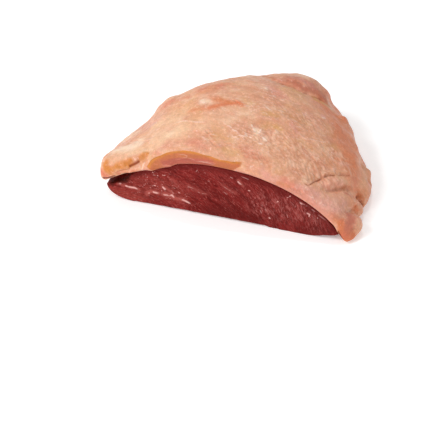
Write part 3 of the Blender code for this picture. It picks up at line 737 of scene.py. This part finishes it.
def shapeLean(fatTree):
    form = leanForm
    mesh = fineMesh("lean", form)
    mesh.name = "leanMeat"
    tree = meshTree(mesh)
    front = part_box("lean")[0].y + form["cutDepth"] * mm
    for _ in range(form["halvings"]):
        centres, normals = readFaces(mesh)
        halve(mesh, (centres[:, 1] < front) & (normals[:, 1] < form["cutFacing"]))
    points, normals = readPoints(mesh)
    nearest, distance = nearestOn(fatTree, points)
    touching = distance < form["touch"] * mm
    reach = 1 + form["overlap"] * mm / np.maximum(distance, form["closest"] * mm)
    moved = points + (nearest - points) * (reach * touching)[:, np.newaxis]
    places = fibrePlaces(wandered(points, form["fibreWander"]))
    relief = np.zeros(len(points))
    for length, width, height in form["fibres"]:
        relief += height * mm * swells(places / np.array([length, width, length]) / mm, 1.0, width)
    drift = wandered(points, form["wander"]) - points
    fields = {name: patchField(tree, points, patches, drift) for name, patches in leanPatches.items()}
    size, low, high = form["breaks"]
    broken = smooth(swells(points, size * mm, noiseShifts["strings"]), low, high)
    # how pale each point is, under strings of membrane and under glints painted on as pale strokes
    string = np.zeros(len(points))
    for lines, width, pale in leanStrings.values():
        for line in lines:
            corners = castLine(tree, line)
            near, away, along = offLine(points, normals, corners, form["stringReach"] * mm)[:3]
            shown = pale * bell(away, width * mm) * tapered(along, *stringEnds) * broken[near]
            string[near] = np.maximum(string[near], shown)
    relief += form["stringHeight"] * mm * string
    low, high = form["clearOfFat"]
    cut = smooth(-normals[:, 1], *form["cutTurned"]) * smooth(distance, low * mm, high * mm)
    moved += normals * (relief * cut)[:, np.newaxis]
    shiftPoints(tree, moved, leanShifts)
    movePoints(mesh, moved)
    fields.update(fibrePlace=places / mm, fromFat=distance / mm, string=string)
    for name, values in fields.items():
        storeField(mesh, name, values)
    return mesh


def makeMaterial(name):
    material = bpy.data.materials.new(name)
    material.use_nodes = True
    tree = material.node_tree
    return material, tree, tree.nodes["Principled BSDF"]


def makeNoises(tree, place, unit, noises):
    # noise textures by name: the length of their swells along each axis, and their detail
    made = {}
    for name, (sizes, detail) in noises.items():
        scaled = addNode(tree, "ShaderNodeVectorMath",
                         {0: place, 1: [1 / (size * unit) for size in sizes], 2: (len(made) * noiseGap,) * 3},
                         operation="MULTIPLY_ADD")
        made[name] = addNode(tree, "ShaderNodeTexNoise",
                             {"Vector": scaled.outputs[0], "Scale": 1, "Detail": detail,
                              "Roughness": noiseRoughness}).outputs["Fac"]
    return made


def paintLayers(tree, look, fields):
    # colours laid over each other: each as strong as stated where all of its fields run from
    # the first value towards the second
    colour = hexColour(look["ground"])
    for paint, strength, bounds in look["layers"]:
        for name, none, full in bounds:
            share = addNode(tree, "ShaderNodeMapRange",
                            {"Value": fields[name], "From Min": none, "From Max": full},
                            interpolation_type="SMOOTHSTEP").outputs["Result"]
            strength = addNode(tree, "ShaderNodeMath", {0: share, 1: strength},
                               operation="MULTIPLY").outputs[0]
        colour = addNode(tree, "ShaderNodeMix", {0: strength, 6: colour, 7: hexColour(paint)},
                         data_type="RGBA").outputs[2]
    return colour


# The fields that bound the bare strip along the cut.
inBand = [("cutShare", 0.2, 0.8), ("belowEdge", -0.15, 0.35), ("fromLean", 0.7, 1.3)]

# Raw beef fat, trimmed and chilled: translucent cream to tan, wet, tinged pink where blood
# has soaked in and golden where it is cut or thick.
# Shade in its creases, folds and wrinkles, on its hump and on the side turned from the key lamp, and
# highlights on its flakes, ridges and glints, are painted into its colour too.
fatFinish = {
    "noises": {                 # mm along X, Y and Z, and detail
        "cloud": ((30, 30, 30), 4), "yellowing": ((22, 22, 22), 4), "blush": ((18, 14, 18), 4),
        "mottle": ((7, 7, 7), 4), "drifts": ((15, 11, 11), 3), "streaks": ((14, 3.2, 3.2), 4),
        "fleck": ((2.6, 2.6, 2.6), 3), "pore": ((1.2, 1.2, 1.2), 2), "ragged": ((4.5, 4.5, 4.5), 5),
        "glint": ((2.6, 1.3, 1.3), 1),
    },
    "drawn": {                  # these are drawn out along the flakes
        "dash": ((1.5, 1.5, 1.5), 2), "grain": ((0.8, 0.8, 0.8), 3), "strands": ((5, 5, 5), 4),
    },
    "feather": (0.7, 1.3),      # how unevenly a patch takes its colour
    "even": ("under",),         # patches that take it evenly
    "ground": "#db9d7f",
    "layers": [                 # colour, strength, and for each of its fields where it starts and is full
        ("#e4ad8b", 0.8, [("cloud", 0.42, 0.58)]),
        ("#e0ae7a", 0.4, [("yellowing", 0.50, 0.66)]),
        ("#dc9583", 0.4, [("blush", 0.50, 0.64)]),
        ("#cd8a68", 0.3, [("mottle", 0.46, 0.34)]),
        ("#d08d6d", 0.35, [("drifts", 0.48, 0.36)]),
        ("#eec3a4", 0.4, [("drifts", 0.52, 0.64)]),
        ("#f0c6a9", 0.3, [("mottle", 0.54, 0.66)]),
        ("#f2cbb6", 0.25, [("streaks", 0.55, 0.68)]),
        ("#f2cab2", 0.3, [("fleck", 0.56, 0.68)]),
        # painted shade on the side turned from the key lamp
        ("#c87350", 0.6, [("flank", 0.0, 1.0)]),
        ("#da7e54", 0.85, [("tanned", 0.0, 1.2)]),
        ("#da7c50", 0.9, [("ruddy", 0.0, 1.1)]),
        # painted shade on the hump's far side, with pale pink streaks painted across it as highlights
        ("#bb6f52", 0.85, [("dry", 0.05, 1.0)]),
        ("#d59080", 0.5, [("dry", 0.2, 1.0), ("streaks", 0.54, 0.66)]),
        ("#d6a266", 0.8, [("yellow", 0.0, 1.2)]),
        ("#dfa294", 0.85, [("lilac", 0.0, 1.1)]),
        ("#ebc09c", 0.95, [("creamy", 0.0, 1.1)]),
        # pale fat, and soft highlights painted on, as on the lobe's top and in the cluster of glints
        ("#f5d5b9", 1.0, [("pale", 0.0, 1.2)]),
        # golden fat, with painted shade along the lobe's lower front and over the crease under it
        ("#cf8240", 0.95, [("golden", 0.05, 1.3)]),
        # painted shade in the folds and along the hump's lower edge
        ("#b5683f", 0.8, [("umber", 0.05, 1.3)]),
        ("#d5765a", 0.9, [("rosy", 0.05, 1.4)]),
        ("#cb8763", 0.4, [("granular", 0.0, 0.6), ("strands", 0.47, 0.34)]),
        ("#f2c9af", 0.4, [("granular", 0.0, 0.6), ("strands", 0.53, 0.66)]),
        # painted shade between the flakes, and painted light on their tops
        ("#c58763", 0.45, [("granular", 0.1, 0.8), ("flakes", 0.14, 0.02)]),
        ("#eec0a2", 0.45, [("granular", 0.1, 0.8), ("flakes", 0.2, 0.42)]),
        # painted shade in the wrinkles' valleys, and painted highlights on their ridges
        ("#c58a6c", 0.3, [("wrinkled", 0.1, 0.8), ("wrinkles", 0.1, -0.8)]),
        ("#f4d0c0", 0.6, [("wrinkled", 0.15, 0.8), ("wrinkles", 0.5, 0.95)]),
        ("#f2c9b4", 0.35, [("wrinkles", 0.6, 1.0), ("fleck", 0.48, 0.6)]),
        ("#f6d3c3", 0.6, [("dash", 0.65, 0.74)]),
        ("#f6cdbb", 0.6, [("wrinkled", 0.0, 0.5), ("glint", 0.66, 0.74)]),
        ("#c4745f", 0.9, [("mauve", 0.0, 1.1)]),
        # painted shade along the creases
        ("#964420", 0.9, [("crease", 0.15, 1.0)]),
        ("#d9907c", 0.8, [("cutShare", 0.6, 0.2), ("fromLean", 5.5, 3.0)]),
        ("#c27048", 1.0, inBand),
        ("#b8604f", 0.95, inBand + [("wet", 0.2, 1.0), ("fromLean", 8.5, 6.0)]),
        ("#d0853f", 1.0, inBand + [("belowEdge", 3.0, 0.3)]),
        ("#d98c74", 0.6, inBand + [("streaks", 0.55, 0.66), ("fromLean", 7.0, 5.0)]),
        ("#b4604c", 0.85, [("fromLean", 1.5, 0.7)]),
        # pale strings of membrane, and glints painted on as pale strokes
        ("#f7dacb", 0.85, [("string", 0.15, 0.95)]),
        # painted shade under the lobe's foot and along the flap's edge
        ("#7a3420", 0.95, [("under", 0.3, 0.9)]),
        ("#e2a48f", 0.9, [("under", 0.5, 0.1), ("cutShare", 0.6, 0.2), ("fromLean", 2.3, 1.5)]),
    ],
    "shades": {"fleck": 0.08, "grain": 0.08},   # how much each darkens and lightens
    "sheen": (0.30, 0.52),      # its roughness where the mottles are low and high
    "sheenFrom": (0.35, 0.65),  # how low and how high
    "bump": (0.55, 0.35),       # strength, and height in mm
    "shader": {
        "Specular IOR Level": 0.15, "Subsurface Weight": 0.25, "Subsurface Radius": (1.0, 0.5, 0.3),
        "Subsurface Scale": 1.5 * mm,
    },
}


def finishFat():
    look = fatFinish
    material, tree, shader = makeMaterial("rawBeefFat")
    place = addNode(tree, "ShaderNodeTexCoord").outputs["Object"]
    fields = makeNoises(tree, place, mm, look["noises"])
    flow = addNode(tree, "ShaderNodeAttribute", attribute_name="flow").outputs["Vector"]
    fields.update(makeNoises(tree, flow, 1, look["drawn"]))
    least, most = noiseSpread
    low, high = look["feather"]
    feather = addNode(tree, "ShaderNodeMapRange",
                      {"Value": fields["ragged"], "From Min": least, "From Max": most,
                       "To Min": low, "To Max": high}).outputs["Result"]
    used = {name for paint, strength, bounds in look["layers"] for name, none, full in bounds}
    for name in sorted(used - set(fields)):
        fields[name] = addNode(tree, "ShaderNodeAttribute", attribute_name=name).outputs["Fac"]
        if name in fatPatches and name not in look["even"]:
            fields[name] = addNode(tree, "ShaderNodeMath", {0: fields[name], 1: feather},
                                   operation="MULTIPLY").outputs[0]
    colour = paintLayers(tree, look, fields)
    for name, depth in look["shades"].items():
        shade = addNode(tree, "ShaderNodeMapRange",
                        {"Value": fields[name], "From Min": least, "From Max": most,
                         "To Min": 1 - depth, "To Max": 1 + depth}).outputs["Result"]
        colour = addNode(tree, "ShaderNodeVectorMath", {0: colour, "Scale": shade},
                         operation="SCALE").outputs[0]
    least, most = look["sheenFrom"]
    low, high = look["sheen"]
    sheen = addNode(tree, "ShaderNodeMapRange",
                    {"Value": fields["mottle"], "From Min": least, "From Max": most,
                     "To Min": low, "To Max": high}).outputs["Result"]
    strength, height = look["bump"]
    both = addNode(tree, "ShaderNodeMath", {0: fields["fleck"], 1: fields["pore"]},
                   operation="ADD").outputs[0]
    bump = addNode(tree, "ShaderNodeBump", {"Height": both, "Strength": strength, "Distance": height * mm})
    tree.links.new(colour, shader.inputs["Base Color"])
    tree.links.new(sheen, shader.inputs["Roughness"])
    tree.links.new(bump.outputs["Normal"], shader.inputs["Normal"])
    for socket, value in look["shader"].items():
        shader.inputs[socket].default_value = value
    return material


# Raw lean beef, cut across its bundles: dark red, wet, with pale flecks of marbling.
# Shade under the fat's rim and in the hollow at its left end, and glints, are painted into its colour too.
leanFinish = {
    "noises": {                 # mm along, across and behind the fibres, and detail
        "fibres": ((5, 0.9, 5), 3), "bundles": ((12, 2.6, 12), 3), "clouds": ((20, 14, 20), 3),
        "blotches": ((4.6, 3.2, 4.6), 2), "crossing": ((1.6, 4.2, 4.2), 3), "grain": ((2.4, 0.8, 2.4), 3),
        "flecks": ((2.6, 1.2, 2.6), 2), "specks": ((1.6, 1.3, 1.6), 2),
    },
    "ground": "#701a17",
    "layers": [
        ("#80221f", 1.0, [("clouds", 0.40, 0.58)]),
        ("#963e36", 0.5, [("lively", 0.1, 1.0)]),
        ("#9a3e35", 0.7, [("lip", 0.2, 0.8)]),
        ("#963632", 0.5, [("bundles", 0.50, 0.64)]),
        ("#54100e", 0.5, [("bundles", 0.46, 0.34)]),
        ("#5a100e", 0.55, [("fibres", 0.46, 0.34)]),
        ("#9c423c", 0.5, [("fibres", 0.54, 0.68)]),
        ("#480c0b", 0.85, [("grain", 0.45, 0.30)]),
        ("#b5625b", 0.7, [("grain", 0.56, 0.70)]),
        ("#c98a82", 0.5, [("specks", 0.66, 0.76)]),
        ("#daa098", 0.7, [("lively", 0.3, 1.0), ("specks", 0.62, 0.72)]),
        ("#560f0d", 0.5, [("shaded", 0.1, 1.0)]),
        ("#4e0d0b", 0.5, [("flecked", 0.1, 0.8), ("blotches", 0.46, 0.34)]),
        ("#b5625c", 0.55, [("flecked", 0.1, 0.8), ("blotches", 0.53, 0.66)]),
        ("#4e0d0b", 0.5, [("flecked", 0.1, 0.8), ("crossing", 0.46, 0.34)]),
        ("#bd706a", 0.4, [("flecked", 0.1, 0.8), ("crossing", 0.54, 0.68)]),
        ("#c27c76", 0.4, [("flecked", 0.1, 0.8), ("flecks", 0.58, 0.70)]),
        ("#ad554d", 0.85, [("halo", 0.1, 1.1)]),
        # pale specks, partly marbling and partly painted glints
        ("#d79c94", 0.8, [("specked", 0.2, 0.9), ("specks", 0.63, 0.72)]),
        # painted shade under the fat's rim, darker towards it
        ("#611714", 0.6, [("fromFat", 6.5, 2.5)]),
        # pale strings of membrane, and glints painted on as pale strokes
        ("#e3aca4", 0.95, [("string", 0.2, 0.9)]),
        # painted shade in the hollow under the lobe
        ("#48140a", 0.95, [("cavity", 0.2, 0.9)]),
        # painted shade in the gap under the fat's edge
        ("#561310", 0.7, [("fromFat", 1.6, 0.7)]),
    ],
    "bump": (0.7, 0.5),         # strength, and height in mm
    "shader": {
        "Roughness": 0.3, "Specular IOR Level": 0.05, "Subsurface Weight": 0.1,
        "Subsurface Radius": (1.0, 0.25, 0.2), "Subsurface Scale": 1.5 * mm,
    },
}


def finishLean():
    look = leanFinish
    material, tree, shader = makeMaterial("rawLeanBeef")
    fibre = addNode(tree, "ShaderNodeAttribute", attribute_name="fibrePlace").outputs["Vector"]
    fields = makeNoises(tree, fibre, 1, look["noises"])
    used = {name for paint, strength, bounds in look["layers"] for name, none, full in bounds}
    for name in sorted(used - set(fields)):
        fields[name] = addNode(tree, "ShaderNodeAttribute", attribute_name=name).outputs["Fac"]
    strength, height = look["bump"]
    both = addNode(tree, "ShaderNodeMath", {0: fields["fibres"], 1: fields["flecks"]},
                   operation="ADD").outputs[0]
    bump = addNode(tree, "ShaderNodeBump", {"Height": both, "Strength": strength, "Distance": height * mm})
    tree.links.new(paintLayers(tree, look, fields), shader.inputs["Base Color"])
    tree.links.new(bump.outputs["Normal"], shader.inputs["Normal"])
    for socket, value in look["shader"].items():
        shader.inputs[socket].default_value = value
    return material


nodeTrees = {name: meshTree(node.data) for name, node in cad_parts.items()}
pieces = {
    "fatCap": (shapeFat(nodeTrees["lean"]), finishFat(), "fat_cap", "fat"),
    "leanMeat": (shapeLean(nodeTrees["fat_cap"]), finishLean(), "lean", "lean"),
}
for name, (mesh, material, node, slot) in pieces.items():
    mesh.materials.clear()
    mesh.materials.append(material)
    mesh.shade_smooth()
    piece = bpy.data.objects.new(name, mesh)
    scene.collection.objects.link(piece)
    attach(piece, "root")
    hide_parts(node)
    print(name, "made with", sum(len(p.vertices) - 2 for p in mesh.polygons), "triangles")

# The floor and the light.
studio = {
    "floorSide": 4.0,
    "floorLevel": -0.2 * mm,    # just clear of the flat underside
    "board": {
        "Base Color": (0.95, 0.95, 0.95, 1), "Roughness": 0.8, "Specular IOR Level": 0.1,
        "Emission Color": (1, 1, 1, 1), "Emission Strength": 0.28,      # lifts the pale board to white
    },
    "world": 0.5,
    "lamps": {                  # place in metres, side in metres, watts
        "key": ((-0.75, -0.75, 1.05), 0.5, 9.5),
        "fill": ((0.5, -1.1, 0.5), 0.9, 1.2),
        "glintFront": ((-0.35, -1.3, 1.0), 0.06, 2.0),
        "glintTop": ((-0.15, 0.25, 1.5), 0.08, 3.0),
    },
}


def makeStudio():
    bpy.ops.mesh.primitive_plane_add(size=studio["floorSide"], location=(0, 0, studio["floorLevel"]))
    floor = bpy.context.object
    floor.name = "floor"
    material, tree, shader = makeMaterial("whiteBoard")
    for socket, value in studio["board"].items():
        shader.inputs[socket].default_value = value
    floor.data.materials.append(material)
    for name, (place, side, watts) in studio["lamps"].items():
        lamp = bpy.data.lights.new(name, "AREA")
        lamp.size = side
        lamp.energy = watts
        light = bpy.data.objects.new(name, lamp)
        light.location = place
        light.rotation_euler = (-Vector(place)).to_track_quat("-Z", "Y").to_euler()
        scene.collection.objects.link(light)
    world = bpy.data.worlds.new("studio")
    world.use_nodes = True
    world.node_tree.nodes["Background"].inputs["Color"].default_value = (1, 1, 1, 1)
    world.node_tree.nodes["Background"].inputs["Strength"].default_value = studio["world"]
    scene.world = world
    scene.view_settings.view_transform = "Standard"


makeStudio()
print("floor and lights set")
